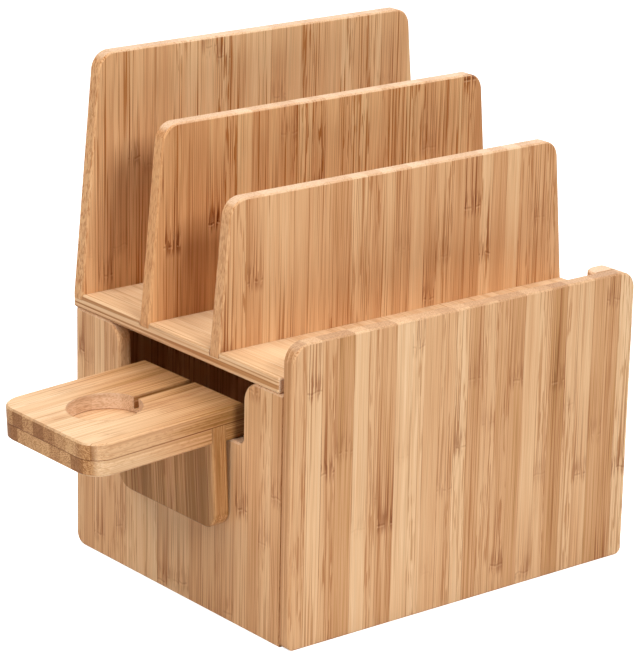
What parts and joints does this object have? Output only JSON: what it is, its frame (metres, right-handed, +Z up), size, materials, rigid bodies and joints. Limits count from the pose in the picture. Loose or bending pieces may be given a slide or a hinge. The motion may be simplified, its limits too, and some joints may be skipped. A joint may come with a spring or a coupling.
{
  "type": "charging station organizer",
  "caption": "Bamboo box for chargers with a lift-off rack of upright dividers and a hook-on watch charger holder at one side.",
  "frame": {"origin": "middle of the box's underside, on the table", "axes": "+X to the right across the front, +Y from the front to the back, +Z up"},
  "size_m": [0.2486, 0.1479, 0.212],
  "materials": {
    "bamboo_box": "satin",
    "bamboo_rack": "satin",
    "bamboo_holder": "satin",
    "dowel_wood": "matte"
  },
  "bodies": {
    "box": {"front_panel": "bamboo_box", "left_side_panel": "bamboo_box", "right_side_panel": "bamboo_box", "back_panel": "bamboo_box", "bottom_board": "bamboo_box", "corner_block": "bamboo_box", "front_dowels": "dowel_wood", "back_dowels": "dowel_wood", "bottom_dowels": "dowel_wood"},
    "rack": {"shelf": "bamboo_rack", "front_divider": "bamboo_rack", "middle_divider": "bamboo_rack", "rear_divider": "bamboo_rack", "front_cleat": "bamboo_rack", "rear_cleat": "bamboo_rack"},
    "holder": {"adapter_top_layer": "bamboo_holder", "adapter_lower_layer": "bamboo_holder", "adapter_wall_block": "bamboo_holder", "adapter_outer_plate": "bamboo_holder", "adapter_hook_plate": "bamboo_holder", "adapter_dowels": "dowel_wood"}
  },
  "joints": [
    {"name": "rack_lift", "type": "slide", "parent": "box", "child": "rack", "axis": [0, 0, 1], "range_m": [0, 0.06]},
    {"name": "holder_lift", "type": "slide", "parent": "box", "child": "holder", "axis": [0, 0, 1], "range_m": [0, 0.011]}
  ]
}
